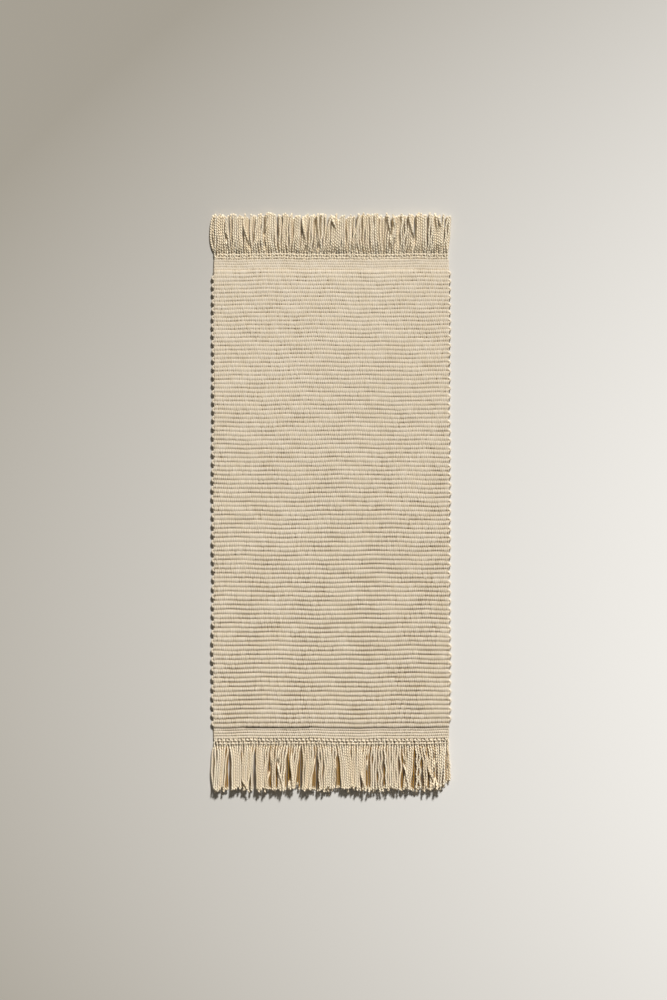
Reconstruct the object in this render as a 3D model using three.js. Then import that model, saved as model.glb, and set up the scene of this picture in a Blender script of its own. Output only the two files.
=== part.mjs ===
// Hand-woven cotton bath mat with a cord fringe at both ends. Millimetres, +Z up.
// X is the width, Y the length, and the mat lies on the floor at z = 0. Its origin is the middle
// of its underside. The front end is at -Y and the rear end, where the weaver finished, at +Y.
import * as THREE from 'three';

// Overall sizes
const matWidth = 500;             // selvedge to selvedge
const matLength = 1200;           // fringe tip to fringe tip
const matThickness = 8;           // floor to the crest of a rib

// Ribbed field: thick weft cords, each wrapped by the warp, side by side along Y
const ribPitch = 9.1;             // mean spacing of the ribs
const rearPitchRatio = 0.85;      // the rearmost ribs are beaten this much closer than the front ones
const valleyHeight = 5;           // floor to the groove between two ribs

// Selvedges: the weft cord turns round from one rib into the next, outside the outermost warp
const weftCordThickness = 4.6;
const turnReach = 2.4;            // how far a turn swells out of the edge
const edgeThickness = 0.8;        // cord that is left at the notch between two turns

// Headings: fine weft picks that lock the ribs at each end
const frontHeadingLength = 23;
const rearHeadingLength = 22;
const headingThickness = 4.6;
const pickPitch = 4.5;            // spacing of the fine picks
const pickRise = 0.6;             // crest of a pick above the groove beside it

// Twined rows: two knotted rows, side by side, that grip the warp ends
const twinedRowWidth = 6.4;
const twinedRowHeight = 5.6;
const knotPitch = 8;              // spacing of the knots along a row
const knotRelief = 1.2;           // depth of the nick between two knots, on each side of the row

// Fringe: the warp ends, as two-ply cords that lie in loose layers
const frontFringeLength = 96;
const rearFringeLength = 78;
const fringeThickness = 10;
const bundlesPerEnd = 16;
const cordDiameter = 4.2;
const tipUnevenness = 6;          // longest bundle tip to shortest

// Clearances
const gap = 0.3;                  // between neighbouring solids
const hingeClearance = 0.15;      // hinge line above the surface that folds on to another

// Smoothness of the faceted curves
const arcSteps = 6;
const knotArcSteps = 4;

const wovenCotton = { color: 0xcfbfa7, roughness: 0.92, metalness: 0 };
const fringeCotton = { color: 0xd6c5a8, roughness: 0.95, metalness: 0 };

// The woven width, inside the turns of the weft
const wovenWidth = matWidth - 2 * (turnReach + edgeThickness + gap);

// Lengthwise layout, from the front tips to the rear tips
const frontTip = -matLength / 2;
const rearTip = matLength / 2;
const frontFringeRoot = frontTip + frontFringeLength;
const rearFringeRoot = rearTip - rearFringeLength;
const frontHeadingEdge = frontFringeRoot + 2 * twinedRowWidth;
const rearHeadingEdge = rearFringeRoot - 2 * twinedRowWidth;
const frontFieldEdge = frontHeadingEdge + frontHeadingLength;
const rearFieldEdge = rearHeadingEdge - rearHeadingLength;

// Grooves between the ribs. The pitch closes slowly towards the rear, and all ribs fill the field.
function ribGrooves() {
  const fieldLength = rearFieldEdge - frontFieldEdge;
  const count = Math.round(fieldLength / ribPitch);
  const shares = [];
  for (let rib = 0; rib < count; rib += 1) {
    shares.push(1 - (1 - rearPitchRatio) * ((rib + 0.5) / count) ** 3);
  }
  const scale = fieldLength / shares.reduce((sum, share) => sum + share, 0);
  const grooves = [frontFieldEdge];
  for (const share of shares) {
    grooves.push(grooves[grooves.length - 1] + share * scale);
  }
  return grooves;
}

const grooves = ribGrooves();
const foldGroove = grooves.reduce(
  (best, y, index) => (Math.abs(y) < Math.abs(grooves[best]) ? index : best),
  0,
);
const foldLine = grooves[foldGroove];

const mat = new THREE.Group();

// Hinge lines along X: high enough that what folds over comes to lie on the ribs
const fringeHingeHeight = (matThickness + fringeThickness) / 2 + hingeClearance;
mat.userData.hinges = {
  centreFold: { y: foldLine, z: matThickness + hingeClearance },
  frontFringe: { y: frontFringeRoot, z: fringeHingeHeight },
  rearFringe: { y: rearFringeRoot, z: fringeHingeHeight },
};

function addPiece(name, geometry, finish) {
  const piece = new THREE.Mesh(geometry, new THREE.MeshStandardMaterial(finish));
  piece.name = name;
  mat.add(piece);
}

// A side profile in (Y, Z), drawn counterclockwise, carried across the woven width.
function acrossWidth(profile) {
  const geometry = new THREE.ExtrudeGeometry(new THREE.Shape(profile), {
    depth: wovenWidth,
    bevelEnabled: false,
  });
  geometry.translate(0, 0, -wovenWidth / 2);
  geometry.rotateY(Math.PI / 2);
  geometry.rotateX(Math.PI / 2);
  return geometry;
}

// Low arches between neighbouring grooves, drawn from the rear groove to the front one.
function archedTop(edges, grooveHeight, crestHeight) {
  const points = [];
  for (let arch = edges.length - 2; arch >= 0; arch -= 1) {
    const front = edges[arch];
    const rear = edges[arch + 1];
    for (let step = 0; step < arcSteps; step += 1) {
      const angle = (Math.PI * step) / arcSteps;
      const y = (front + rear) / 2 + (Math.cos(angle) * (rear - front)) / 2;
      points.push(new THREE.Vector2(y, grooveHeight + Math.sin(angle) * (crestHeight - grooveHeight)));
    }
  }
  points.push(new THREE.Vector2(edges[0], grooveHeight));
  return points;
}

// A flat-bottomed slab whose top is a row of arches.
function ribbedSlab(edges, grooveHeight, crestHeight) {
  const held = edges.slice();
  held[0] += gap / 2;
  held[held.length - 1] -= gap / 2;
  return acrossWidth([
    new THREE.Vector2(held[0], 0),
    new THREE.Vector2(held[held.length - 1], 0),
    ...archedTop(held, grooveHeight, crestHeight),
  ]);
}

function addField(name, edges) {
  addPiece(name, ribbedSlab(edges, valleyHeight, matThickness), wovenCotton);
}

function addHeading(name, front, rear) {
  const picks = Math.max(1, Math.round((rear - front) / pickPitch));
  const edges = [];
  for (let pick = 0; pick <= picks; pick += 1) {
    edges.push(front + ((rear - front) * pick) / picks);
  }
  addPiece(name, ribbedSlab(edges, headingThickness - pickRise, headingThickness), wovenCotton);
}

// The weft's turns down one side of one half, in plan. Each turn joins two neighbouring ribs.
// side is -1 for the left selvedge and 1 for the right one.
function addTurns(name, edges, side, firstTurn) {
  const low = edges[0] + gap / 2;
  const high = edges[edges.length - 1] - gap / 2;
  const inner = wovenWidth / 2 + gap;
  const notch = inner + edgeThickness;
  const starts = [low];
  for (let index = firstTurn; index < edges.length - 1; index += 2) {
    if (edges[index] > low) {
      starts.push(edges[index]);
    }
  }
  starts.push(high);
  const outline = new THREE.Shape();
  outline.moveTo(inner, high);
  outline.lineTo(inner, low);
  for (let turn = 0; turn < starts.length - 1; turn += 1) {
    const front = starts[turn];
    const rear = starts[turn + 1];
    for (let step = 0; step < arcSteps; step += 1) {
      const angle = (Math.PI * step) / arcSteps;
      outline.lineTo(
        notch + Math.sin(angle) * turnReach,
        (front + rear) / 2 - (Math.cos(angle) * (rear - front)) / 2,
      );
    }
  }
  outline.lineTo(notch, high);
  const geometry = new THREE.ExtrudeGeometry(outline, {
    depth: weftCordThickness,
    bevelEnabled: false,
  });
  geometry.translate(0, 0, (matThickness - weftCordThickness) / 2);
  if (side < 0) {
    geometry.rotateY(Math.PI);
    geometry.translate(0, 0, matThickness);
  }
  addPiece(name, geometry, wovenCotton);
}

// One twined row in plan: a chain of knots across the woven width, nicked between them.
function addTwinedRow(name, front) {
  const low = front + gap / 2;
  const high = front + twinedRowWidth - gap / 2;
  const knots = Math.max(1, Math.round(wovenWidth / knotPitch));
  const outline = new THREE.Shape();
  const walk = [
    { direction: 1, edge: low + knotRelief, swell: -knotRelief },
    { direction: -1, edge: high - knotRelief, swell: knotRelief },
  ];
  outline.moveTo(-wovenWidth / 2, low + knotRelief);
  for (const { direction, edge, swell } of walk) {
    for (let knot = 0; knot < knots; knot += 1) {
      for (let step = knot === 0 ? 0 : 1; step <= knotArcSteps; step += 1) {
        const along = (knot + step / knotArcSteps) / knots;
        outline.lineTo(
          direction * wovenWidth * (along - 0.5),
          edge + swell * Math.sin((Math.PI * step) / knotArcSteps),
        );
      }
    }
  }
  const geometry = new THREE.ExtrudeGeometry(outline, {
    depth: twinedRowHeight,
    bevelEnabled: false,
  });
  addPiece(name, geometry, fringeCotton);
}

// One bundle of neighbouring cords: an end view in (X, Z), carried along Y from root to tip.
// side is -1 for the front end, where the cords run towards -Y, and 1 for the rear end.
function addBundle(name, index, root, length, side) {
  const width = matWidth / bundlesPerEnd;
  const left = -matWidth / 2 + index * width + gap / 2;
  const right = left + width - gap;
  const cords = Math.max(1, Math.round(width / cordDiameter));
  const outline = new THREE.Shape();
  outline.moveTo(left, 0);
  outline.lineTo(right, 0);
  for (let cord = cords - 1; cord >= 0; cord -= 1) {
    const near = left + ((right - left) * cord) / cords;
    const far = left + ((right - left) * (cord + 1)) / cords;
    const radius = (far - near) / 2;
    for (let step = 0; step <= arcSteps; step += 1) {
      const angle = (Math.PI * step) / arcSteps;
      outline.lineTo(
        (near + far) / 2 + Math.cos(angle) * radius,
        fringeThickness - radius + Math.sin(angle) * radius,
      );
    }
  }
  const trim = (tipUnevenness * ((index * 7) % 5)) / 4;
  const depth = length - trim - gap / 2;
  const geometry = new THREE.ExtrudeGeometry(outline, { depth, bevelEnabled: false });
  // the end view stands up along Z, and its depth runs towards -Y
  geometry.rotateX(Math.PI / 2);
  geometry.translate(0, side > 0 ? root + gap / 2 + depth : root - gap / 2, 0);
  addPiece(name, geometry, fringeCotton);
}

const frontGrooves = grooves.slice(0, foldGroove + 1);
const rearGrooves = grooves.slice(foldGroove);
const rearShift = foldGroove % 2;  // keeps the turns in step across the fold
addField('front_field', frontGrooves);
addField('rear_field', rearGrooves);
addTurns('front_left_weft_turns', frontGrooves, -1, 2);
addTurns('front_right_weft_turns', frontGrooves, 1, 1);
addTurns('rear_left_weft_turns', rearGrooves, -1, 2 - rearShift);
addTurns('rear_right_weft_turns', rearGrooves, 1, 1 + rearShift);
addHeading('front_heading', frontHeadingEdge, frontFieldEdge);
addHeading('rear_heading', rearFieldEdge, rearHeadingEdge);
addTwinedRow('front_outer_twined_row', frontFringeRoot);
addTwinedRow('front_inner_twined_row', frontFringeRoot + twinedRowWidth);
addTwinedRow('rear_inner_twined_row', rearHeadingEdge);
addTwinedRow('rear_outer_twined_row', rearHeadingEdge + twinedRowWidth);
for (let index = 0; index < bundlesPerEnd; index += 1) {
  const number = String(index + 1).padStart(2, '0');
  addBundle(`front_fringe_cords_${number}`, index, frontFringeRoot, frontFringeLength, -1);
  addBundle(`rear_fringe_cords_${number}`, index, rearFringeRoot, rearFringeLength, 1);
}

export default mat;
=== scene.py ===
import math
import bpy
import numpy as np
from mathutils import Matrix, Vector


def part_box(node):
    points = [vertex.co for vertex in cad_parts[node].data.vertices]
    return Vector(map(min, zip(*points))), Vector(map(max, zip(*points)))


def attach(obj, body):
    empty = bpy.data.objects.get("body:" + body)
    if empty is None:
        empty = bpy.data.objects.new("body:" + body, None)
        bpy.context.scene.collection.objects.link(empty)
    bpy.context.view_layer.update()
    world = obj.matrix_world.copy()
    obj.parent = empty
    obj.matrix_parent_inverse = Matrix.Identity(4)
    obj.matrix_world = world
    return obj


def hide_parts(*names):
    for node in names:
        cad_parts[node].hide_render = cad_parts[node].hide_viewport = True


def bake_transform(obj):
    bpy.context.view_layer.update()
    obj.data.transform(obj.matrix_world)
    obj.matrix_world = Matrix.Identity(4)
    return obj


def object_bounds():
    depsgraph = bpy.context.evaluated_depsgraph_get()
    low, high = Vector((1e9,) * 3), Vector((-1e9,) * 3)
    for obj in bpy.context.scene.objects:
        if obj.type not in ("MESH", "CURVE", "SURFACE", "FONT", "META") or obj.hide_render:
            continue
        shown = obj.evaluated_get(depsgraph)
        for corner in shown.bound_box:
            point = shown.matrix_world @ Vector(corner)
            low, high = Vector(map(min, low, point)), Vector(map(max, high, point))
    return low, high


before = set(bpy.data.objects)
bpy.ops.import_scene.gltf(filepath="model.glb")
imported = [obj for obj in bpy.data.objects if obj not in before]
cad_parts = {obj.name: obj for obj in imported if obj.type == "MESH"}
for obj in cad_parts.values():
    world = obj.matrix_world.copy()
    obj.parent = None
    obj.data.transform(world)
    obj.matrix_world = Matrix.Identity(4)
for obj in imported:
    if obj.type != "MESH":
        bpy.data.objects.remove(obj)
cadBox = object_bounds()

mm = 0.001
tau = 2 * math.pi

# the camera looks straight down, with the mat's rear end at the top of the view
camera = {
    "lens": 100.0,      # a long lens, so the mat shows hardly any perspective
    "sensor": 36.0,
    "seenHigh": 2.088,  # metres of floor from the bottom of the view to the top
    "aimX": 0.0047,
    "aimY": 0.0073,
}
bpy.ops.object.select_all(action="DESELECT")
cameraHeight = camera["seenHigh"] * camera["lens"] / camera["sensor"]
cameraPlace = (camera["aimX"], camera["aimY"], cameraHeight)
bpy.ops.object.camera_add(location=cameraPlace, rotation=(0, 0, 0))
matCamera = bpy.context.object
matCamera.name = "overheadCamera"
matCamera.data.lens = camera["lens"]
matCamera.data.sensor_width = camera["sensor"]
matCamera.data.clip_end = 100
bpy.context.scene.camera = matCamera
print("camera: straight above, %.2f m up" % cameraHeight)


# where the frame puts things: front and rear are the ends of a node along the length
def frontOf(node):
    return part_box(node)[0][1]


def rearOf(node):
    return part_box(node)[1][1]


# neighbouring nodes keep a small clearance, and the cloth meets halfway in it
clearance = frontOf("rear_field") - rearOf("front_field")
foldLine = (rearOf("front_field") + frontOf("rear_field")) / 2
frontFieldEdge = frontOf("front_field") - clearance / 2
rearFieldEdge = rearOf("rear_field") + clearance / 2
frontHeadingEdge = frontOf("front_heading") - clearance / 2
rearHeadingEdge = rearOf("rear_heading") + clearance / 2
frontRoot = frontOf("front_outer_twined_row") - clearance / 2
rearRoot = rearOf("rear_outer_twined_row") + clearance / 2
frontTip, rearTip = cadBox[0][1], cadBox[1][1]
fieldLow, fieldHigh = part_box("front_field")
wovenWidth = fieldHigh[0] - fieldLow[0]
matThickness = fieldHigh[2]


smoothAngle = math.radians(78)   # sharper edges than this stay sharp


# closed skins through rings of points; points is (skins, rings, ring, 3), uv is (skins, rings, ring + 1, 2),
# hollowShade says how deep a point lies between yarns and so how much painted shade it gets, and tone which
# lot its yarn was spun from, both 0 to 1
def loftPieces(name, points, uv, hollowShade, tone):
    pieces, rings, ring, _ = points.shape
    here = np.arange(ring)
    after = (here + 1) % ring
    base = (np.arange(rings - 1) * ring)[:, None]
    quads = np.stack([base + here, base + ring + here, base + ring + after, base + after], axis=-1)
    quadUv = np.arange(rings * (ring + 1)).reshape(rings, ring + 1)
    quadUv = np.stack([quadUv[:-1, :-1], quadUv[1:, :-1], quadUv[1:, 1:], quadUv[:-1, 1:]], axis=-1)
    step = np.arange(pieces) * rings * ring
    uvStep = np.arange(pieces) * rings * (ring + 1)
    lastRing = (rings - 1) * ring + here[::-1]
    lastRingUv = (rings - 1) * (ring + 1) + here[::-1]
    corners = np.concatenate([
        (quads[None] + step[:, None, None, None]).reshape(-1),
        (here + step[:, None]).reshape(-1),
        (lastRing + step[:, None]).reshape(-1),
    ])
    cornerUv = np.concatenate([
        (quadUv[None] + uvStep[:, None, None, None]).reshape(-1),
        (here + uvStep[:, None]).reshape(-1),
        (lastRingUv + uvStep[:, None]).reshape(-1),
    ])
    quadCount = pieces * (rings - 1) * ring
    totals = np.concatenate([np.full(quadCount, 4), np.full(2 * pieces, ring)])
    starts = np.concatenate([[0], np.cumsum(totals)[:-1]])
    mesh = bpy.data.meshes.new(name)
    mesh.vertices.add(pieces * rings * ring)
    mesh.vertices.foreach_set("co", points.astype(np.float32).ravel())
    mesh.loops.add(len(corners))
    mesh.loops.foreach_set("vertex_index", corners.astype(np.int32))
    mesh.polygons.add(len(totals))
    mesh.polygons.foreach_set("loop_start", starts.astype(np.int32))
    layer = mesh.uv_layers.new(name="yarnUv")
    layer.data.foreach_set("uv", uv.reshape(-1, 2)[cornerUv].astype(np.float32).ravel())
    for key, values in (("hollowShade", hollowShade), ("tone", tone)):
        attribute = mesh.attributes.new(key, "FLOAT", "POINT")
        spread = np.broadcast_to(values, (pieces, rings, ring))
        attribute.data.foreach_set("value", spread.astype(np.float32).ravel())
    mesh.update(calc_edges=True)
    mesh.validate()
    piece = bpy.data.objects.new(name, mesh)
    bpy.context.scene.collection.objects.link(piece)
    bpy.ops.object.select_all(action="DESELECT")
    piece.select_set(True)
    bpy.context.view_layer.objects.active = piece
    bpy.ops.object.shade_smooth_by_angle(angle=smoothAngle)
    return piece


# rings of a cord's section along a path; path is (cords, rings, 3) and section (cords, rings, ring, 2),
# where 1 will do for cords or rings that are all alike
def tubeRings(path, section, turn):
    ahead = np.gradient(path, axis=1)
    ahead /= np.linalg.norm(ahead, axis=2, keepdims=True)
    side = np.cross(ahead, (0.0, 0.0, 1.0))
    side /= np.linalg.norm(side, axis=2, keepdims=True)
    up = np.cross(side, ahead)
    c, s = np.cos(turn)[..., None], np.sin(turn)[..., None]
    across = section[..., 0] * c - section[..., 1] * s
    over = section[..., 0] * s + section[..., 1] * c
    sideways = across[..., None] * side[:, :, None, :]
    upwards = over[..., None] * up[:, :, None, :]
    return path[:, :, None, :] + sideways + upwards


# no hand-woven row is straight: the whole mat drifts a little, is narrower at the rear end, and never lies
# quite flat on the floor; each wave is its height, its lengths across and along the mat, and its start
waves = {
    "drift": ((0.62 * mm, 0.33, 0.95, 0.4), (0.42 * mm, 0.145, -0.41, 1.9), (0.26 * mm, 0.068, 0.17, 4.0)),
    "edge": ((0.55 * mm, math.inf, 0.37, 1.1), (0.35 * mm, math.inf, 0.113, 0.3)),
    "lift": ((0.17 * mm, 0.41, 0.29, 0.0), (0.13 * mm, 0.19, -0.23, 2.0)),
    "leastLift": 0.3 * mm,      # as much as the lift waves reach down, so nothing sinks into the floor
    "width": 0.9975,            # share of the full width in the middle of the mat
    "narrowing": 0.0048,        # share lost for each metre towards the rear
}


def waveSum(kind, x, y):
    return sum(height * np.sin(tau * (x / across + y / along) + start)
               for height, across, along, start in waves[kind])


def wander(points):
    x, y = points[..., 0], points[..., 1]
    fromMiddle = x / cadBox[1][0]
    moved = points.copy()
    moved[..., 0] = x * (waves["width"] - waves["narrowing"] * y) + waveSum("edge", x, y) * fromMiddle
    moved[..., 1] = y + waveSum("drift", x, y)
    moved[..., 2] += waves["leastLift"] + waveSum("lift", x, y)
    return moved


# the weave: warp floats lie over thick weft in staggered rows, each row of floats is one rib
weave = {
    "ribsInField": 105,
    "rearPitchRatio": 0.85,       # the rearmost ribs are beaten closer, this close
    "pitchBend": 3,               # more leaves the closing up to the last ribs
    "floatsAcross": 117,          # warp floats side by side on one rib
    "columnsAbove": 4,            # mesh columns to a float on the upper face
    "columnsBelow": 2,
    "ribSteps": (0.0, 0.09, 0.26, 0.5, 0.74, 0.91),   # mesh rows to a rib, closer in the groove
    "overhang": 0.03,             # how far a float runs past its rib, in ribs
    "crown": 2.25,                # 2 gives round ribs, more gives flatter ones
    "crestGap": 0.48 * mm,        # depth of the gap between two floats on the crest
    "endGap": 1.75,               # how much deeper it is at the rib's front edge, in heights of the rib
    "rearEndShare": 0.35,         # the same at the rib's rear edge, as a share of that
    "endGapBend": 1.2,            # more keeps the deep part nearer the edges
    "gapSharpness": 1.5,          # more gives narrower gaps
    "nudge": 0.12,                # how unevenly the floats are spaced, in floats
    "floatUneven": 0.05,          # how much the floats differ in height, and the ribs
    "ribUneven": 0.025,
    "gapUneven": 0.4,             # how much the gaps differ in depth, one by one and in patches
    "gapPatches": 0.35,
    "patchFloats": 4.5,           # floats to one radian of a patch
    "gapLimits": (0.1, 1.9),
    "grooveFront": 6.5 * mm,      # height of the groove's floor at the front end of the field
    "grooveRear": 7.2 * mm,       # the grooves get shallower towards the rear
    "endSink": 0.22,              # the field thins towards the headings by this share
    "endSinkRun": 8 * mm,
    "pucker": 0.15 * mm,          # slow unevenness of the upper face
    "puckerAcross": (0.061, 0.177),
    "puckerAlong": 190,           # radians to a metre
    "shadeDepth": 2.3 * mm,        # depth below the crest at which the painted shade is darkest
    "edgeRound": 2.6 * mm,        # how far in the side edges are rounded
    "edgeFull": 0.98,             # 1 would round them down to nothing
    "edgeOut": 0.15 * mm,
    "spareRibs": 24,              # random rows beyond the field's own
    "seed": 5,
}
weaveRandom = np.random.default_rng(weave["seed"])
ribRows = weave["ribsInField"] + weave["spareRibs"]
floatRow = (ribRows, weave["floatsAcross"] + 2)
floatRise = weaveRandom.normal(0, weave["floatUneven"], floatRow)
floatTone = weaveRandom.uniform(0, 1, floatRow)
floatShift = weaveRandom.normal(0, weave["nudge"], floatRow)
patchStart = weaveRandom.uniform(0, tau, (ribRows, 1))
gapPatch = 1 + weave["gapPatches"] * np.sin(np.arange(floatRow[1]) / weave["patchFloats"] + patchStart)
gapDepth = np.clip(weaveRandom.normal(1, weave["gapUneven"], floatRow) * gapPatch, *weave["gapLimits"])
ribRise = weaveRandom.normal(0, weave["ribUneven"], ribRows)


# grooves of the field from front to rear, in metres, closing up slowly
def fieldGrooves():
    count = weave["ribsInField"]
    along = (np.arange(count) + 0.5) / count
    shares = 1 - (1 - weave["rearPitchRatio"]) * along ** weave["pitchBend"]
    run = np.concatenate([[0], np.cumsum(shares)])
    return frontFieldEdge + (rearFieldEdge - frontFieldEdge) * run / run[-1]


# height of the floats of one rib over the groove's floor, and their tone, at v along the rib's width
def floatFace(rib, v, across, under, relief):
    last = weave["floatsAcross"] + 1
    place = across + 0.5 * ((rib + under) % 2) + np.interp(across, np.arange(last + 1), floatShift[rib])
    nearest = np.clip(np.floor(place + 0.5).astype(int), 0, last)
    gap = np.clip(np.floor(place).astype(int), 0, last)
    between = ((1 - np.cos(tau * place)) / 2) ** weave["gapSharpness"]
    off = abs(2 * v - 1)
    arch = math.sqrt(max(0.0, 1 - (off / (1 + 2 * weave["overhang"])) ** weave["crown"]))
    ends = weave["endGap"] * relief * off ** weave["endGapBend"] * (1 if v < 0.5 else weave["rearEndShare"])
    cut = (weave["crestGap"] + ends * gapDepth[rib, gap]) * between
    height = relief * arch * (1 + floatRise[rib, nearest] + ribRise[rib]) - cut
    return height, floatTone[rib, nearest]


# one face of the weave, row by row along the length
def wovenFace(grooves, firstRib, ribs, across, under, thickness, grooveHeights):
    rows, tones, places = [], [], []
    for rib in range(firstRib, firstRib + ribs + 1):
        for v in weave["ribSteps"]:
            if rib == firstRib + ribs and v > 0:
                break
            inside = rib < len(grooves) - 1
            place = grooves[rib] + v * (grooves[rib + 1] - grooves[rib]) if inside else grooves[rib]
            relief = thickness - np.interp(place, (frontFieldEdge, rearFieldEdge), grooveHeights)
            bump, tone = np.zeros_like(across), 0.5
            if inside:
                bump, tone = floatFace(rib, v, across, under, relief)
            if v == 0 and rib > 0:
                bump = np.maximum(bump, floatFace(rib - 1, 1.0, across, under, relief)[0])
            rows.append(relief - bump)
            tones.append(np.broadcast_to(tone, across.shape))
            places.append(place)
    return np.array(rows), np.array(tones), np.array(places)


# a closed band of weave with floats on both faces and rounded side edges
def wovenBand(name, grooves, firstRib, ribs, thickness, grooveHeights, endSink):
    floats = weave["floatsAcross"]
    topAcross = np.arange(floats * weave["columnsAbove"] + 1) / weave["columnsAbove"]
    lowAcross = np.arange(floats * weave["columnsBelow"] + 1) / weave["columnsBelow"]
    top, topTone, places = wovenFace(grooves, firstRib, ribs, topAcross, 0, thickness, grooveHeights)
    low, lowTone, _ = wovenFace(grooves, firstRib, ribs, lowAcross, 1, thickness, grooveHeights)
    nearest = np.minimum(places - frontFieldEdge, rearFieldEdge - places)
    sink = 1 - endSink * np.exp(-nearest / weave["endSinkRun"])[:, None]
    middle = thickness / 2

    def roundOff(x):
        into = np.clip((np.abs(x) - wovenWidth / 2 + weave["edgeRound"]) / weave["edgeRound"], 0, 1)
        return np.sqrt(1 - weave["edgeFull"] * into ** 2)

    topX = (topAcross / floats - 0.5) * wovenWidth
    lowX = (lowAcross / floats - 0.5) * wovenWidth
    short, long = weave["puckerAcross"]
    ripple = np.sin(tau * topX / short + places[:, None] * weave["puckerAlong"])
    slow = weave["pucker"] * ripple * np.sin(tau * topX / long + 1.3)
    topZ = middle + (middle * sink - top + slow) * roundOff(topX)
    lowZ = np.maximum(middle - (middle - low) * roundOff(lowX), 0.0)
    rows = len(places)
    edge = np.full((rows, 1), middle)
    out = wovenWidth / 2 + weave["edgeOut"]
    x = np.concatenate([lowX, [out], topX[::-1], [-out]])
    points = np.empty((1, rows, len(x), 3))
    points[0, :, :, 0] = x
    points[0, :, :, 1] = places[:, None]
    points[0, :, :, 2] = np.concatenate([lowZ, edge, topZ[:, ::-1], edge], axis=1)
    uv = np.empty((1, rows, len(x) + 1, 2))
    uv[0, :, :-1, 0] = x
    uv[0, :, -1, 0] = x[0]
    uv[0, :, :, 1] = places[:, None]
    # painted shade: the deeper a point lies below its crest, the more it is tinted darker and browner
    deep = np.full((rows, 1), weave["shadeDepth"])
    even = np.full((rows, 1), 0.5)
    hollowShade = np.clip(np.concatenate([low, deep, top[:, ::-1], deep], axis=1) / weave["shadeDepth"], 0, 1)
    tone = np.concatenate([lowTone, even, topTone[:, ::-1], even], axis=1)
    return loftPieces(name, wander(points), uv, hollowShade, tone)


# an sRGB hex colour as linear RGBA
def linear(code):
    parts = [int(code[i:i + 2], 16) / 255 for i in (1, 3, 5)]
    return [p / 12.92 if p <= 0.04045 else ((p + 0.055) / 1.055) ** 2.4 for p in parts] + [1.0]


# adds a node, sets its properties, and fills or links its inputs
def addNode(tree, kind, settings=None, inputs=None):
    node = tree.nodes.new(kind)
    for key, value in (settings or {}).items():
        setattr(node, key, value)
    for key, value in (inputs or {}).items():
        if isinstance(value, bpy.types.NodeSocket):
            tree.links.new(value, node.inputs[key])
        else:
            node.inputs[key].default_value = value
    return node


# undyed spun cotton: matte and a little fuzzy, with painted shade, darker and browner, down between the
# yarns
def spunCotton(look):
    material = bpy.data.materials.new(look["name"])
    material.use_nodes = True
    tree = material.node_tree
    tree.nodes.clear()
    place = addNode(tree, "ShaderNodeTexCoord").outputs["Object"]
    yarn = addNode(tree, "ShaderNodeUVMap", {"uv_map": "yarnUv"}).outputs["UV"]
    hollowShade = addNode(tree, "ShaderNodeAttribute", {"attribute_name": "hollowShade"}).outputs["Fac"]
    tone = addNode(tree, "ShaderNodeAttribute", {"attribute_name": "tone"}).outputs["Fac"]
    depth = addNode(tree, "ShaderNodeMapRange", {"interpolation_type": "SMOOTHSTEP"},
                    {"Value": hollowShade, "From Min": look["hollowFrom"], "From Max": look["hollowTo"]})
    cloud = addNode(tree, "ShaderNodeTexNoise", None,
                    {"Vector": place, "Scale": 1 / look["cloudSize"], "Detail": 3.0, "Roughness": 0.6})
    lot = addNode(tree, "ShaderNodeMix", {"data_type": "FLOAT"},
                  {"Factor": look["toneShare"], "A": cloud.outputs["Fac"], "B": tone})
    cotton = addNode(tree, "ShaderNodeMix", {"data_type": "RGBA"},
                     {"Factor": lot.outputs["Result"], "A": linear(look["pale"]),
                      "B": linear(look["warm"])})
    # painted shade: points deep between the yarns are mixed towards the darker, browner shade colour
    shaded = addNode(tree, "ShaderNodeMix", {"data_type": "RGBA"},
                     {"Factor": depth.outputs["Result"], "A": cotton.outputs["Result"],
                      "B": linear(look["hollowShade"])})
    # a wave node repeats every tau / 20 at scale 1, so this gives one band to each ply
    ply = addNode(tree, "ShaderNodeMapping", None,
                  {"Vector": yarn, "Rotation": (0, 0, look["plyAngle"])})
    plies = addNode(tree, "ShaderNodeTexWave", {"wave_type": "BANDS", "wave_profile": "SIN"},
                    {"Vector": ply.outputs["Vector"], "Scale": tau / 20 / look["plySpacing"],
                     "Distortion": 1.5, "Detail": 2.0, "Detail Scale": 2.0})
    fuzz = addNode(tree, "ShaderNodeTexNoise", None,
                   {"Vector": place, "Scale": 1 / look["fibre"], "Detail": 2.0, "Roughness": 0.7})
    height = addNode(tree, "ShaderNodeMix", {"data_type": "FLOAT"},
                     {"Factor": 0.4, "A": plies.outputs["Fac"], "B": fuzz.outputs["Fac"]})
    bump = addNode(tree, "ShaderNodeBump", None,
                   {"Height": height.outputs["Result"], "Strength": look["bump"],
                    "Distance": look["relief"]})
    # cotton is dull all over, and dullest where its fibres stand up
    dull = addNode(tree, "ShaderNodeMapRange", None,
                   {"Value": fuzz.outputs["Fac"], "To Min": 0.84, "To Max": 0.98})
    skin = addNode(tree, "ShaderNodeBsdfPrincipled", None,
                   {"Base Color": shaded.outputs["Result"], "Roughness": dull.outputs["Result"],
                    "IOR": 1.5, "Specular IOR Level": 0.25, "Sheen Weight": look["sheen"],
                    "Sheen Roughness": 0.5, "Normal": bump.outputs["Normal"]})
    addNode(tree, "ShaderNodeOutputMaterial", None, {"Surface": skin.outputs["BSDF"]})
    return material


# close floats: pale crests, painted tan shade in the grooves and a faint mottling from uneven spinning
warpWeaveCotton = spunCotton({
    "name": "undyed spun cotton, warp-faced weave",
    "pale": "#E6D9C5", "warm": "#D9C8AB", "hollowShade": "#775B28",
    "hollowFrom": 0.22, "hollowTo": 0.9,
    "cloudSize": 60 * mm, "toneShare": 0.5,
    "plySpacing": 1.3 * mm, "plyAngle": math.radians(35), "fibre": 0.5 * mm,
    "bump": 0.5, "relief": 0.25 * mm, "sheen": 0.15,
})
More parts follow.
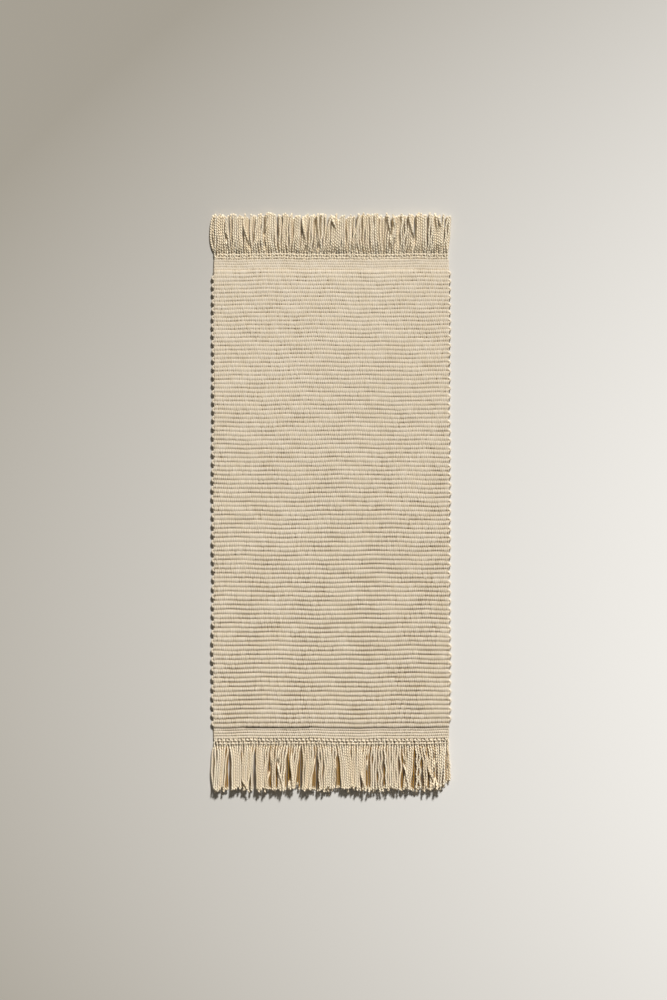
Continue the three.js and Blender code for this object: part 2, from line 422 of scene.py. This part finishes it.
# loose two-ply cords: creamier and fuzzier, with painted brown shade in the depths between them
fringeCotton = spunCotton({
    "name": "undyed spun cotton, two-ply cord",
    "pale": "#FFF3DA", "warm": "#FDE9C6", "hollowShade": "#9A7018",
    "hollowFrom": 0.2, "hollowTo": 0.85,
    "cloudSize": 40 * mm, "toneShare": 0.7,
    "plySpacing": 1.0 * mm, "plyAngle": math.radians(40), "fibre": 0.45 * mm,
    "bump": 0.4, "relief": 0.2 * mm, "sheen": 0.35,
})


# gives a piece its finish, hides the parts it replaces and fixes it to a body; with no body, as at the fold
# in the middle, its place is baked into its mesh
def settle(piece, body, material, replaced):
    piece.data.materials.clear()
    piece.data.materials.append(material)
    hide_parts(*replaced)
    if body:
        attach(piece, body)
    else:
        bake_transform(piece)
    return piece


# the field, in pieces that meet in the grooves
fold = {"ribsEachSide": 2, "bendBefore": 7 * mm, "bendAfter": 15 * mm, "runsEachSide": 3}
grooves = fieldGrooves()
foldGroove = int(np.argmin(np.abs(grooves - foldLine)))
firstFoldRib = foldGroove - fold["ribsEachSide"]
firstRearRib = foldGroove + fold["ribsEachSide"]
fieldRuns = [("fold_field", range(firstFoldRib, firstRearRib), None, ["front_field", "rear_field"])]
ribsOfHalf = {"front": range(0, firstFoldRib), "rear": range(firstRearRib, weave["ribsInField"])}
for half, ribsThere in ribsOfHalf.items():
    for number, run in enumerate(np.array_split(ribsThere, fold["runsEachSide"])):
        fieldRuns.append(("%s_field_%d" % (half, number + 1), run, half + "_half", [half + "_field"]))
for name, run, body, replaced in fieldRuns:
    first, count = int(run[0]), len(run)
    piece = wovenBand(name, grooves, first, count, matThickness,
                      (weave["grooveFront"], weave["grooveRear"]), weave["endSink"])
    settle(piece, body, warpWeaveCotton, replaced)


# headings: a few fine picks, plainly raised at the front, beaten nearly flat at the rear
heading = {"picks": 4, "thickness": 5.4 * mm, "groove": {"front": 4.25 * mm, "rear": 4.85 * mm}}


def addHeading(end, low, high):
    picks = np.linspace(low, high, heading["picks"] + 1)
    grooveHeight = heading["groove"][end]
    piece = wovenBand(end + "_heading_weave", picks, 0, heading["picks"], heading["thickness"],
                      (grooveHeight, grooveHeight), 0.0)
    return settle(piece, end + "_half", warpWeaveCotton, [end + "_heading"])


frontHeading = addHeading("front", frontHeadingEdge, frontFieldEdge)
rearHeading = addHeading("rear", rearFieldEdge, rearHeadingEdge)
print("headings: %d fine picks each" % heading["picks"])


# twined rows: two strands twisted round each other, with a group of warp cords in each half turn
twining = {
    "knotPitch": 8.3 * mm,
    "strandWidth": 4.3 * mm,
    "waist": {"front": 0.5, "rear": 0.85},             # width of a strand where it dives, 1 for the whole
    "middle": {"front": 3.4 * mm, "rear": 3.1 * mm},   # height of the row over the floor
    "rise": {"front": 1.5 * mm, "rear": 0.4 * mm},     # how far a strand goes up and down from there
    "dip": {"front": 0.9 * mm, "rear": 0.4 * mm},      # how much lower both strands run where they cross
    "sway": 0.6 * mm,                                  # how far they go from side to side
    "sideClear": 1.0 * mm,                             # how far inside the mat's sides a row ends
    "shade": {"front": (1.15, 1.5), "rear": (0.1, 0.4)},   # painted shade at a crossing, and how fast it fades
    "tone": {"front": 0.5, "rear": 0.9},
    "uneven": 0.14,                                    # how much the knots differ in size
    "stepsPerKnot": 8,
    "sides": 8,
    "seed": 1000,
}
knots = round(wovenWidth / twining["knotPitch"])
knotGap = wovenWidth / knots


# outer rows sit half a knot along from the inner ones
def knotPlaces(shift):
    return (np.arange(knots + 1) - shift) * knotGap + (0.5 * knotGap - wovenWidth / 2)


# lean is 1 or -1, so that two rows beside each other are twisted in opposite directions
def addTwinedRow(end, name, lean, shift):
    place = (frontOf(name) + rearOf(name)) / 2
    sideLimit = wovenWidth / 2 - twining["sideClear"]
    steps = (knots - 1) * twining["stepsPerKnot"] + 1
    along = np.arange(steps) / twining["stepsPerKnot"]
    angle = np.arange(twining["sides"]) * tau / twining["sides"]
    phase = math.pi * along[None, :] + np.array([[0.0], [math.pi]])
    over = np.cos(phase)
    path = np.empty((2, steps, 3))
    path[..., 0] = knotPlaces(0)[0] + (along + shift) * knotGap - shift * knotGap / 2
    path[..., 0] = np.clip(path[..., 0], -sideLimit, sideLimit)
    path[..., 1] = place + lean * twining["sway"] * np.sin(phase)
    path[..., 2] = twining["middle"][end] + twining["rise"][end] * over
    path[..., 2] -= twining["dip"][end] * (1 - over ** 2)
    swell = twining["waist"][end] + (1 - twining["waist"][end]) * np.clip(over, 0, 1)
    random = np.random.default_rng(round(twining["seed"] + place / mm))
    knotSize = random.normal(1, twining["uneven"], (2, knots))
    swell *= np.array([np.interp(along, np.arange(knots), sizes) for sizes in knotSize])
    ring = np.stack([np.cos(angle), np.sin(angle)], axis=-1) * twining["strandWidth"] / 2
    points = tubeRings(wander(path), ring[None, None] * swell[..., None, None], np.zeros((2, steps)))
    uv = np.empty((2, steps, twining["sides"] + 1, 2))
    uv[..., 0] = np.linspace(0, math.pi * twining["strandWidth"], twining["sides"] + 1)
    uv[..., 1] = path[:, :, None, 0]
    # painted shade where a strand dives under the other one at a crossing
    darkest, fade = twining["shade"][end]
    hollowShade = np.clip(darkest - fade * over, 0, 1)[..., None]
    piece = loftPieces(name + "_strands", points, uv, hollowShade, twining["tone"][end])
    return settle(piece, end + "_half", warpWeaveCotton, [name])


twinedRows = {}
for end, lean in (("front", 1), ("rear", -1)):
    for layer, shift in (("inner", 0.0), ("outer", 0.5)):
        name = "%s_%s_twined_row" % (end, layer)
        row = addTwinedRow(end, name, lean if layer == "outer" else -lean, shift)
        twinedRows.setdefault(end, []).append(row)
print("twined rows: %d knots in each" % knots)


# fringe: the warp ends beyond the rows, as two-ply cords in two layers; the pairs for clumpPull, lean,
# cordLean, curl and gripHeight are for the lower layer and the upper one
fringe = {
    "cordsPerKnot": 1.6,        # in one layer
    "cordWidth": 4.9 * mm,
    "cordUneven": (0.9, 1.08),  # thinnest and thickest cord, as shares of that
    "closest": 0.84,            # how near two cords lie, in cord widths
    "plyPitch": 11.6 * mm,      # length of one full twist of the two plies
    "plyPitchUneven": (0.85, 1.2),
    "cutEnd": (1.0, 1.05, 1.12, 1.08, 0.6),   # a cord frays a little and then closes, in cord widths
    "ringSpacing": 1.3 * mm,
    "lieHeight": 0.57,          # height of a cord's middle when it lies on the floor, in cord widths
    "tuck": 2.0 * mm,           # how far the cords start inside the heading
    "tuckSink": (1.2 * mm, 3 * mm),   # how much lower the upper cords start there, and for how long
    "gripWidth": 0.6,           # how tightly a knot gathers its cords, 1 for fully
    "gripThin": 0.8,            # and how thin it squeezes them
    "gripRows": ((0.25, 0.0), (0.75, 0.5)),   # where the two rows of knots are along and across the cords
    "gripReach": 0.28,          # all as shares, of both rows' width and of a knot
    "gripHeight": (2.0 * mm, 4.2 * mm),   # of the cords inside the knots
    "gripFade": 9 * mm,         # from there the cords swell and come to rest on what is under them
    "clumpCords": (1, 6),       # fewest and most cords that hang together
    "clumpShift": 1.2 * mm,
    "clumpPull": (0.05, 0.3),   # how far they are pulled together, 1 for fully
    "clumpBy": 0.45,            # a clump has come together at this share of the length
    "lean": (0.018, 0.06),      # sideways slope of a clump
    "cordLean": (0.015, 0.03),  # and of a single cord
    "fan": 4.5 * mm,            # the two layers fan out in opposite directions from the rows
    "fanWave": 0.21,
    "fanReach": 16 * mm,
    "curl": (0.7 * mm, 1.7 * mm),   # the cords are never straight: height and length of their waves
    "curlWave": (0.026, 0.06),
    "loft": 2.0 * mm,           # how far a clump of the upper layer may ride up
    "nestUpper": 0.9,           # how far cords sink between the ones under them, 1 for not at all
    "nestStray": 0.85,
    "highest": 16 * mm,         # no cord's middle lies above this
    "strays": 15,
    "strayFrom": (0.1, 0.7),    # share of the length at which a stray turns away
    "straySway": (4 * mm, 15 * mm),
    "strayBorder": 30 * mm,     # nearer the sides than this, strays turn inwards
    "bowReach": {"left": 22 * mm, "right": 14 * mm},   # how far in from the sides the cords bow out
    "tipSpread": 3.0 * mm,      # unevenness of the cut ends
    "tipWave": (1.5 * mm, 60),  # and a slow wave of the cut, with its radians to a metre
    "tipLimits": (-6 * mm, 8 * mm),   # longest and shortest that a cord may be cut
    "cornerReach": 16 * mm,     # width of the corner that is cut short
    "smooth": (2, 4),           # rings over which bends are evened out, sideways and in height
    "sideLight": 12 * mm,       # cords nearer the sides than this get less painted shade
    "tipLight": (0.88, 0.1),    # and so do their ends, from this share of the length over this share
    "tintUneven": (-0.1, 0.12),
    "bend": (1.5 * mm, 11 * mm),   # from this far before a fringe's root to this far past it
}
fringeEnds = {
    "front": {
        "side": -1, "root": frontRoot, "tip": frontTip, "headingEdge": frontHeadingEdge, "seed": 21,
        "trim": 3.5 * mm,             # how much shorter than the frame the cords are cut
        "cornerShort": 20 * mm,       # and how much more in the right corner
        "bowLeft": 2.5 * mm,          # how far the outermost cords bow out
        "bowRight": 3.0 * mm,
        "tipLift": 6.5 * mm,          # how far the lower layer's ends stand off the floor
        "plyShade": 0.42,              # painted shade in the groove between the two plies
        "innerShade": (0.72, 0.5),     # and on the sides of the cords that face the other layer
    },
    "rear": {
        "side": 1, "root": rearRoot, "tip": rearTip, "headingEdge": rearHeadingEdge, "seed": 34,
        "trim": -1.0 * mm, "cornerShort": 0.0, "bowLeft": 7.0 * mm, "bowRight": 2.0 * mm,
        "tipLift": 1.5 * mm, "plyShade": 0.22, "innerShade": (0.24, 0.04),
    },
}


# pushes neighbouring cords apart until they lie side by side
def spreadApart(x, least, rounds=60):
    for _ in range(rounds):
        short = np.clip(least - np.diff(x, axis=0), 0, None) / 2
        x[:-1] -= short
        x[1:] += short
    return x


# running mean along the cords, because yarn is too stiff for sharp bends
def smoothAlong(values, window):
    pad = np.pad(values, ((0, 0), (window, window)), mode="edge")
    kernel = np.ones(2 * window + 1) / (2 * window + 1)
    return np.array([np.convolve(row, kernel, mode="valid") for row in pad])


def easeIn(t):
    t = np.clip(t, 0, 1)
    return t * t * (3 - 2 * t)


# height at which cords at x come to rest on the cords under them, or on the floor
def restOn(x, under, underHeight, width):
    height = np.full(x.shape, width / 2)
    for cord in range(len(under)):
        away = x - under[cord]
        touch = np.sqrt(np.clip(width ** 2 - away ** 2, 0, None))
        height = np.where(np.abs(away) < width, np.maximum(height, underHeight[cord] + touch), height)
    return height


# side places of one layer of cords, and how far each rides up; run is the way along a cord from inside the
# heading, in metres, and free is the share of it past the rows
def layCords(random, where, run, free, upper):
    cords = round(knots * fringe["cordsPerKnot"])
    length = abs(where["tip"] - where["root"])
    gripDepth = abs(where["root"] - where["headingEdge"])
    home = ((np.arange(cords) + 0.5) / cords - 0.5) * wovenWidth
    x = np.repeat(home[:, None], len(run), axis=1)
    rideUp = np.zeros_like(x)
    pullMost = fringe["clumpPull"][upper]
    gather = np.clip(free / fringe["clumpBy"], 0, 1) ** 1.5
    start = 0
    while start < cords:
        end = start + int(random.integers(*fringe["clumpCords"], endpoint=True))
        members = np.arange(start, min(end, cords))
        start = members[-1] + 1
        centre = home[members].mean() + random.normal(0, fringe["clumpShift"])
        pull = pullMost * random.uniform(0.5, 1.3)
        slope = random.normal(0, fringe["lean"][upper])
        x[members] += (centre - home[members])[:, None] * pull * gather + slope * free ** 1.3 * length
        cordLoft = random.uniform(0, 0.5) + random.uniform(0, 0.5, (len(members), 1))
        if upper:
            rideUp[members] = fringe["loft"] * cordLoft * easeIn(free * 2)
        else:
            rideUp[members] = where["tipLift"] * (0.4 + 0.6 * cordLoft) * np.clip(free, 0, 1) ** 1.5
    x += random.normal(0, fringe["cordLean"][upper], (cords, 1)) * free * length
    wave = random.uniform(*fringe["curlWave"], (cords, 1))
    amount = random.uniform(0.3, 1.0, (cords, 1)) * fringe["curl"][upper]
    x += amount * np.sin(tau * run / wave + random.uniform(0, tau, (cords, 1))) * np.clip(free * 5, 0, 1)
    fan = fringe["fan"] * np.sin(tau * home / fringe["fanWave"] + where["seed"])[:, None]
    x += (1 if upper else -1) * fan * (1 - np.exp(-free * length / fringe["fanReach"]))
    fromLeft, fromRight = home[:, None] + wovenWidth / 2, wovenWidth / 2 - home[:, None]
    bow = np.sin(math.pi * np.clip(free, 0, 1)) ** 0.7
    x += -where["bowLeft"] * np.exp(-fromLeft / fringe["bowReach"]["left"]) * bow
    x += where["bowRight"] * np.exp(-fromRight / fringe["bowReach"]["right"]) * easeIn(free * 1.2)
    for rowShare, shift in fringe["gripRows"]:
        places = knotPlaces(shift)
        nearest = places[np.argmin(np.abs(home[:, None] - places[None, :]), axis=1)]
        fromRow = (run - fringe["tuck"] - gripDepth * rowShare) / (fringe["gripReach"] * gripDepth)
        x += (nearest - home)[:, None] * fringe["gripWidth"] * np.exp(-fromRow ** 2)
    return home, x, rideUp


# two plies side by side, a figure of eight, in shares of the cord's width
section = {
    "plyRadius": 0.3,
    "plyCentre": 0.2,
    "openAngle": 115,           # each ply is drawn this far round, in degrees, to where they touch
    "points": 8,
    "waistWithin": 0.35,        # points nearer the middle than this are in the groove between the plies, where shade is painted
}


def cordSection():
    bend = np.radians(np.linspace(-section["openAngle"], section["openAngle"], section["points"] // 2))
    ply = np.stack([np.cos(bend), np.sin(bend)], axis=-1) * section["plyRadius"]
    ply[:, 0] += section["plyCentre"]
    return np.concatenate([ply, -ply])


# twisted two-ply cords along given paths, cut ends and all; inward is 1 if the fringe's inside is above
# them and -1 if it is below, and buried says how much painted shade they get for being shut in
def cordMesh(name, path, thin, inward, plyShade, buried, random):
    cords, stations, _ = path.shape
    outline = cordSection()
    width = fringe["cordWidth"] * random.uniform(*fringe["cordUneven"], (cords, 1, 1, 1))
    fray = np.ones(stations)
    fray[-len(fringe["cutEnd"]):] = fringe["cutEnd"]
    scaled = outline[None, None] * width * (fray * thin)[None, :, None, None]
    steps = np.linalg.norm(np.diff(path, axis=1), axis=2)
    run = np.concatenate([np.zeros((cords, 1)), np.cumsum(steps, axis=1)], axis=1)
    twist = fringe["plyPitch"] * random.uniform(*fringe["plyPitchUneven"], (cords, 1))
    points = tubeRings(path, scaled, tau * run / twist + random.uniform(0, tau, (cords, 1)))
    waist = np.linalg.norm(outline, axis=1) < section["waistWithin"]
    inside = np.clip(0.5 + 2 * inward * (points[..., 2] - path[:, :, None, 2]) / width[..., 0], 0, 1)
    # painted shade in the groove between the plies and on the sides facing the other layer, a little uneven
    # from cord to cord
    hollowShade = waist * plyShade + inside * buried[..., None]
    hollowShade = hollowShade + random.uniform(*fringe["tintUneven"], (cords, 1, 1))
    uv = np.empty((cords, stations, len(outline) + 1, 2))
    uv[..., 0] = np.linspace(0, 9 * mm, len(outline) + 1)   # about the way round a cord
    uv[..., 1] = run[:, :, None] + random.uniform(0, 1, (cords, 1, 1))
    return loftPieces(name, points, uv, np.clip(hollowShade, 0, 1), random.uniform(0, 1, (cords, 1, 1)))


# single cords of the upper layer turn away and lie across the others
def turnStrays(random, home, high, free):
    stray = np.sort(random.choice(len(home), fringe["strays"], replace=False))
    onset = random.uniform(*fringe["strayFrom"], (len(stray), 1))
    sway = random.uniform(*fringe["straySway"], (len(stray), 1)) * random.choice((-1, 1), (len(stray), 1))
    nearSide = np.abs(home[stray, None]) > wovenWidth / 2 - fringe["strayBorder"]
    sway = np.where(nearSide, -0.5 * np.abs(sway) * np.sign(home[stray, None]), sway)
    high[stray] += sway * easeIn((free - onset) / (1 - onset))
    return stray


# heights of both layers: down in the knots, then the lower one on the floor and the upper one on it
def cordHeights(low, high, stray, tipLift, rideUp, run, pastRoot):
    width, lie = fringe["cordWidth"], fringe["lieHeight"] * fringe["cordWidth"]
    settled = 1 - np.exp(-np.clip(pastRoot / fringe["gripFade"], 0, None) ** 1.5)
    gripLow, gripHigh = fringe["gripHeight"]
    lowHeight = lie + tipLift
    lowHeight = gripLow + (lowHeight - gripLow) * settled
    others = np.delete(np.arange(len(high)), stray)
    highHeight = restOn(high, low, lowHeight, width * fringe["nestUpper"]) + rideUp
    highHeight[stray] = restOn(high[stray], high[others], highHeight[others], width * fringe["nestStray"])
    highHeight = smoothAlong(np.clip(highHeight, lie, fringe["highest"]), fringe["smooth"][1])
    highHeight = gripHigh + (highHeight - gripHigh) * settled
    sink, sinkRun = fringe["tuckSink"]
    highHeight -= sink * np.exp(-run / sinkRun)
    return lowHeight, highHeight


# how long each cord of a layer is once it is cut
def cutLengths(random, where, whole, home, tips):
    waveHeight, waveTurn = fringe["tipWave"]
    longest, shortest = fringe["tipLimits"]
    cut = random.normal(0, 1, len(tips)) * fringe["tipSpread"] + waveHeight * np.sin(tips * waveTurn)
    corner = np.clip(1 - (wovenWidth / 2 - home) / fringe["cornerReach"], 0, 1)
    return whole - where["trim"] - np.clip(cut, longest, shortest) - where["cornerShort"] * corner


def addFringe(end):
    where = fringeEnds[end]
    random = np.random.default_rng(where["seed"])
    side, tuck = where["side"], fringe["tuck"]
    length, gripDepth = abs(where["tip"] - where["root"]), abs(where["root"] - where["headingEdge"])
    whole = tuck + gripDepth + length
    run = np.linspace(0, whole, int(whole / fringe["ringSpacing"]))
    free = np.clip((run - tuck - gripDepth) / length, 0, 1)
    thin = fringe["gripThin"] + (1 - fringe["gripThin"]) * easeIn(free * length / fringe["gripFade"])
    home, low, tipLift = layCords(random, where, run, free, False)
    _, high, rideUp = layCords(random, where, run, free, True)
    least = fringe["closest"] * fringe["cordWidth"] * thin
    low = smoothAlong(spreadApart(low, least), fringe["smooth"][0])
    high = smoothAlong(spreadApart(high, least), fringe["smooth"][0])
    stray = turnStrays(random, home, high, free)
    lowHeight, highHeight = cordHeights(low, high, stray, tipLift, rideUp, run, free * length)
    # less painted shade for cords near the sides and towards their ends
    lightFrom, lightOver = fringe["tipLight"]
    fromSide = np.clip((wovenWidth / 2 - np.abs(home)) / fringe["sideLight"], 0, 1)
    shutIn = fromSide[:, None] * (1 - easeIn((free - lightFrom) / lightOver))
    bundles = [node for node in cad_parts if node.startswith(end + "_fringe_cords")]
    pieces = []
    for upper, (layer, x, z) in enumerate((("lower", low, lowHeight), ("upper", high, highHeight))):
        reach = cutLengths(random, where, whole, home, x[:, -1])
        y = where["headingEdge"] - side * tuck + side * run[None, :] * (reach / whole)[:, None]
        path = wander(np.stack([x, y, z], axis=-1))
        piece = cordMesh(end + "_fringe_" + layer + "_cords", path, thin, -1 if upper else 1,
                         where["plyShade"], where["innerShade"][upper] * shutIn, random)
        piece.data.materials.append(fringeCotton)
        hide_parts(*bundles)
        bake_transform(piece)
        pieces.append(piece)
    print("%s fringe: %d cords in two layers" % (end, 2 * len(home)))
    return pieces


frontFringe = addFringe("front")
rearFringe = addFringe("rear")


# weft turns at the selvedges, one loop for each rib that turns into the next on that side
turns = {
    "cordWidth": 5.2 * mm,
    "upright": 1.12,            # height of the cord, in widths
    "out": 3.4 * mm,            # how far the middle of a turn stands out from its ends
    "spread": 0.8,              # distance of its ends from each other, in ribs
    "tuck": 1.4 * mm,           # how far its ends lie inside the field
    "rings": 11,
    "sides": 9,
    "uvLength": 14 * mm,
    # depth value for the painted shade, 0 to 1
    "hollowShade": 0.15,
    "tone": 0.4,
}


def addTurns(name, body, side, ribs, replaced):
    angle = np.arange(turns["sides"]) * tau / turns["sides"]
    ring = np.stack([np.cos(angle), turns["upright"] * np.sin(angle)], axis=-1) * turns["cordWidth"] / 2
    sweep = np.linspace(-math.pi / 2, math.pi / 2, turns["rings"])
    inner = wovenWidth / 2 - turns["tuck"]
    path = np.empty((len(ribs), turns["rings"], 3))
    for loop, rib in enumerate(ribs):
        here = (grooves[rib] + grooves[rib + 1]) / 2
        after = (grooves[rib + 1] + grooves[rib + 2]) / 2
        path[loop, :, 0] = side * (inner + turns["out"] * np.cos(sweep))
        path[loop, :, 1] = (here + after) / 2 + (after - here) / 2 * turns["spread"] * np.sin(sweep)
        path[loop, :, 2] = matThickness / 2
    points = tubeRings(wander(path), ring[None, None], np.zeros((len(ribs), turns["rings"])))
    uv = np.empty((len(ribs), turns["rings"], turns["sides"] + 1, 2))
    uv[..., 0] = np.linspace(0, math.pi * turns["cordWidth"], turns["sides"] + 1)
    uv[..., 1] = np.linspace(0, turns["uvLength"], turns["rings"])[None, :, None]
    piece = loftPieces(name, points, uv, turns["hollowShade"], turns["tone"])
    return settle(piece, body, warpWeaveCotton, replaced)


selvedges = {"front": [], "fold": [], "rear": []}
for sideName, side, parity in (("left", -1, 0), ("right", 1, 1)):
    every = list(range(parity, weave["ribsInField"] - 1, 2))
    frontNode, rearNode = "front_%s_weft_turns" % sideName, "rear_%s_weft_turns" % sideName
    frontOnes = [rib for rib in every if rib + 2 <= firstFoldRib]
    foldOnes = [rib for rib in every if rib + 2 > firstFoldRib and rib < firstRearRib]
    rearOnes = [rib for rib in every if rib >= firstRearRib]
    for part, body, ribs, replaced in (
        ("front", "front_half", frontOnes, [frontNode]),
        ("fold", None, foldOnes, [frontNode, rearNode]),
        ("rear", "rear_half", rearOnes, [rearNode]),
    ):
        name = "%s_%s_selvedge_turns" % (part, sideName)
        selvedges[part].append(addTurns(name, body, side, ribs, replaced))
print("selvedges: weft turns at every second rib")


# the floor's colour is painted brighter towards the window side and darker away from it, a painted pool of
# light; the world is what the room throws back
room = {
    "floorSize": 14,
    "floorDark": "#A9A397",
    "floorBright": "#FBF9F5",
    "brightAtMat": 0.555,       # how bright the painted light is under the middle of the mat, 0 to 1
    "brightAcross": 0.50,       # and how it changes for each metre across and along
    "brightAlong": -0.14,
    "brightMiddle": 0.245,      # it fades towards both ends by this, for a metre squared
    "floorRoughness": 0.95,
    "sunSide": math.radians(70.73),
    "sunHeight": math.radians(36),
    "sunSpread": math.radians(8),
    "sunStrength": 4.4,
    "fill": 0.12,
    "fillColour": (1.0, 0.93, 0.81, 1),
}
bpy.ops.object.select_all(action="DESELECT")
bpy.ops.mesh.primitive_plane_add(size=room["floorSize"], location=(0, 0, 0))
floor = bpy.context.object
floor.name = "floor"
paintedLightFloor = bpy.data.materials.new("pale floor with painted light, matte")
paintedLightFloor.use_nodes = True
floorTree = paintedLightFloor.node_tree
floorShader = floorTree.nodes["Principled BSDF"]
floorPlace = addNode(floorTree, "ShaderNodeTexCoord").outputs["Object"]
floorAxes = addNode(floorTree, "ShaderNodeSeparateXYZ", None, {"Vector": floorPlace})
acrossGlow = addNode(floorTree, "ShaderNodeMath", {"operation": "MULTIPLY_ADD"},
                     {0: floorAxes.outputs["X"], 1: room["brightAcross"], 2: room["brightAtMat"]})
alongGlow = addNode(floorTree, "ShaderNodeMath", {"operation": "MULTIPLY_ADD"},
                    {0: floorAxes.outputs["Y"], 1: room["brightAlong"], 2: acrossGlow.outputs[0]})
farOff = addNode(floorTree, "ShaderNodeMath", {"operation": "MULTIPLY"},
                 {0: floorAxes.outputs["Y"], 1: floorAxes.outputs["Y"]})
glow = addNode(floorTree, "ShaderNodeMath", {"operation": "MULTIPLY_ADD", "use_clamp": True},
               {0: farOff.outputs[0], 1: -room["brightMiddle"], 2: alongGlow.outputs[0]})
floorColour = addNode(floorTree, "ShaderNodeMix", {"data_type": "RGBA"},
                      {"Factor": glow.outputs[0], "A": linear(room["floorDark"]),
                       "B": linear(room["floorBright"])})
floorTree.links.new(floorColour.outputs["Result"], floorShader.inputs["Base Color"])
floorShader.inputs["Roughness"].default_value = room["floorRoughness"]
floor.data.materials.append(paintedLightFloor)

# one low soft sun, as from a window beyond the rear end, and a weak fill from the room
bpy.ops.object.light_add(type="SUN", location=(1, 3, 2))
sun = bpy.context.object
sun.name = "windowLight"
sun.data.energy = room["sunStrength"]
sun.data.angle = room["sunSpread"]
sun.rotation_euler = (0, math.pi / 2 - room["sunHeight"], room["sunSide"])
world = bpy.data.worlds.new("softRoom")
world.use_nodes = True
sky = world.node_tree.nodes["Background"]
sky.inputs["Color"].default_value = room["fillColour"]
sky.inputs["Strength"].default_value = room["fill"]
bpy.context.scene.world = world
bpy.context.scene.view_settings.view_transform = "Standard"
print("floor and light: done")
